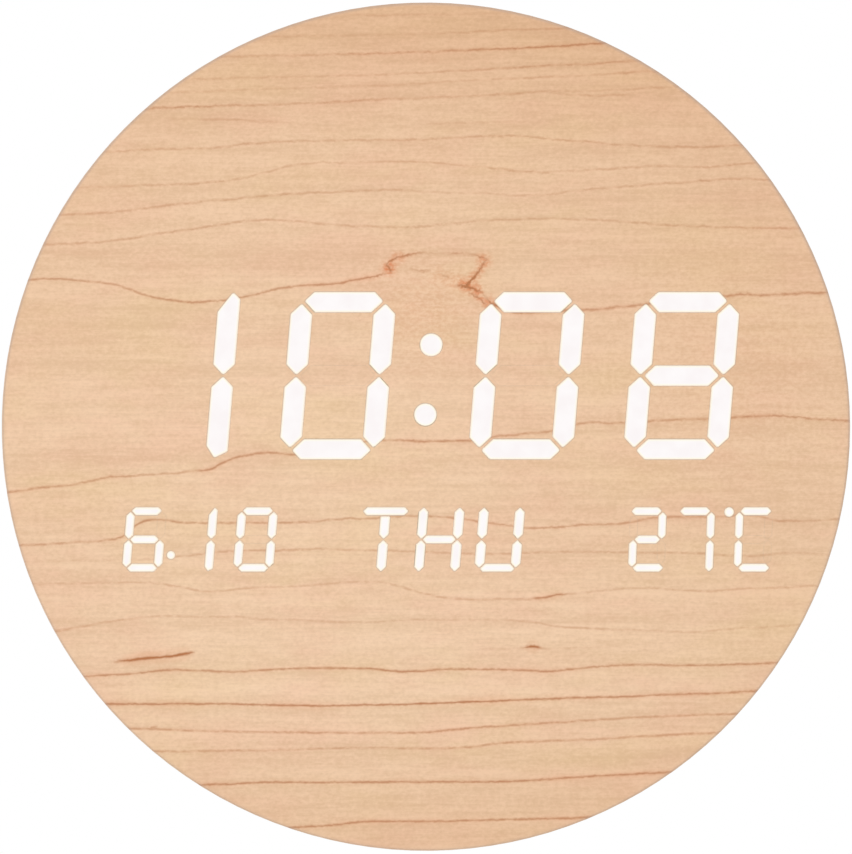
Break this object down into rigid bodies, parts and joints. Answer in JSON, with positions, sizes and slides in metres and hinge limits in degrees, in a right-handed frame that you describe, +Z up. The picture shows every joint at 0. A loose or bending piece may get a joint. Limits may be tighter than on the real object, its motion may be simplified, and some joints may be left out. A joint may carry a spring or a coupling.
{
  "type": "digital wall clock",
  "caption": "Round wall clock with a plain pale wood face through which slanted segment numerals shine, hung on a keyhole plate and set with buttons on its back.",
  "frame": {"origin": "centre of the round back, on the plane that lies against the wall", "axes": "+Y out of the back into the wall, +Z up, +X to the right as seen from the front; the face looks along -Y"},
  "size_m": [0.25, 0.025, 0.25],
  "materials": {
    "fibreboard": "raw milled fibreboard",
    "maple_veneer": "pale satin maple veneer with fine brown grain lines",
    "cover_plastic": "fine spark-eroded black moulding",
    "screw_steel": "zinc-plated steel",
    "hanger_steel": "zinc-plated pressed steel",
    "reflector_plastic": "white moulding",
    "lit_guide_resin": "milky resin, lit white from behind",
    "dark_guide_resin": "milky resin, not lit",
    "board_laminate": "green solder mask on laminate",
    "lamp_resin": "yellow phosphor resin in a white lamp body",
    "chip_epoxy": "moulded black epoxy",
    "header_plastic": "black moulded strip",
    "pin_brass": "plated brass",
    "crystal_can": "drawn metal can",
    "capacitor_can": "drawn aluminium can",
    "sensor_epoxy": "dipped epoxy bead",
    "switch_plastic": "moulded switch body",
    "switch_steel": "stamped steel plate",
    "socket_plastic": "black moulded inlet",
    "cell_steel": "nickel-plated steel can",
    "contact_steel": "nickel-plated spring steel",
    "door_plastic": "black moulded door",
    "button_plastic": "dark grey moulded button",
    "plunger_plastic": "moulded switch plunger"
  },
  "bodies": {
    "clock": {"wood_body": "fibreboard", "face_veneer": "maple_veneer", "edge_veneer": "maple_veneer", "rear_cover": "cover_plastic", "cover_screws": "screw_steel", "hanger_plate": "hanger_steel", "hanger_screws": "screw_steel", "time_reflector": "reflector_plastic", "info_reflector": "reflector_plastic", "unlit_segments": "dark_guide_resin", "display_board": "board_laminate", "display_leds": "lamp_resin", "display_board_screws": "screw_steel", "driver_chips": "chip_epoxy", "link_header": "header_plastic", "link_pins": "pin_brass", "control_board": "board_laminate", "control_board_screws": "screw_steel", "controller_chip": "chip_epoxy", "clock_crystal": "crystal_can", "power_capacitor": "capacitor_can", "temperature_sensor": "sensor_epoxy", "switch_housings": "switch_plastic", "switch_plates": "switch_steel", "power_socket": "socket_plastic", "socket_pin": "pin_brass", "coin_cell": "cell_steel", "cell_positive_contact": "contact_steel", "cell_negative_contact": "contact_steel", "hour_tens_segments": "lit_guide_resin", "hour_units_segments": "lit_guide_resin", "minute_tens_segments": "lit_guide_resin", "minute_units_segments": "lit_guide_resin", "colon_dots": "lit_guide_resin", "date_segments": "lit_guide_resin", "weekday_segments": "lit_guide_resin", "temperature_segments": "lit_guide_resin"},
    "set_button_body": {"set_button": "button_plastic", "set_plunger": "plunger_plastic"},
    "up_button_body": {"up_button": "button_plastic", "up_plunger": "plunger_plastic"},
    "down_button_body": {"down_button": "button_plastic", "down_plunger": "plunger_plastic"},
    "battery_door_body": {"battery_door": "door_plastic"}
  },
  "joints": [
    {"name": "down_press", "type": "slide", "parent": "clock", "child": "down_button_body", "axis": [0, -1, 0], "range_m": [0, 0.0005], "stiffness_N_per_m": 2000, "springref_m": -0.0003},
    {"name": "set_press", "type": "slide", "parent": "clock", "child": "set_button_body", "axis": [0, -1, 0], "range_m": [0, 0.0005], "stiffness_N_per_m": 2000, "springref_m": -0.0003},
    {"name": "up_press", "type": "slide", "parent": "clock", "child": "up_button_body", "axis": [0, -1, 0], "range_m": [0, 0.0005], "stiffness_N_per_m": 2000, "springref_m": -0.0003},
    {"name": "battery_door_twist", "type": "hinge", "parent": "clock", "child": "battery_door_body", "pos_m": [0.04, 0, -0.02445], "axis": [0, 1, 0], "range_deg": [0, 60]}
  ]
}
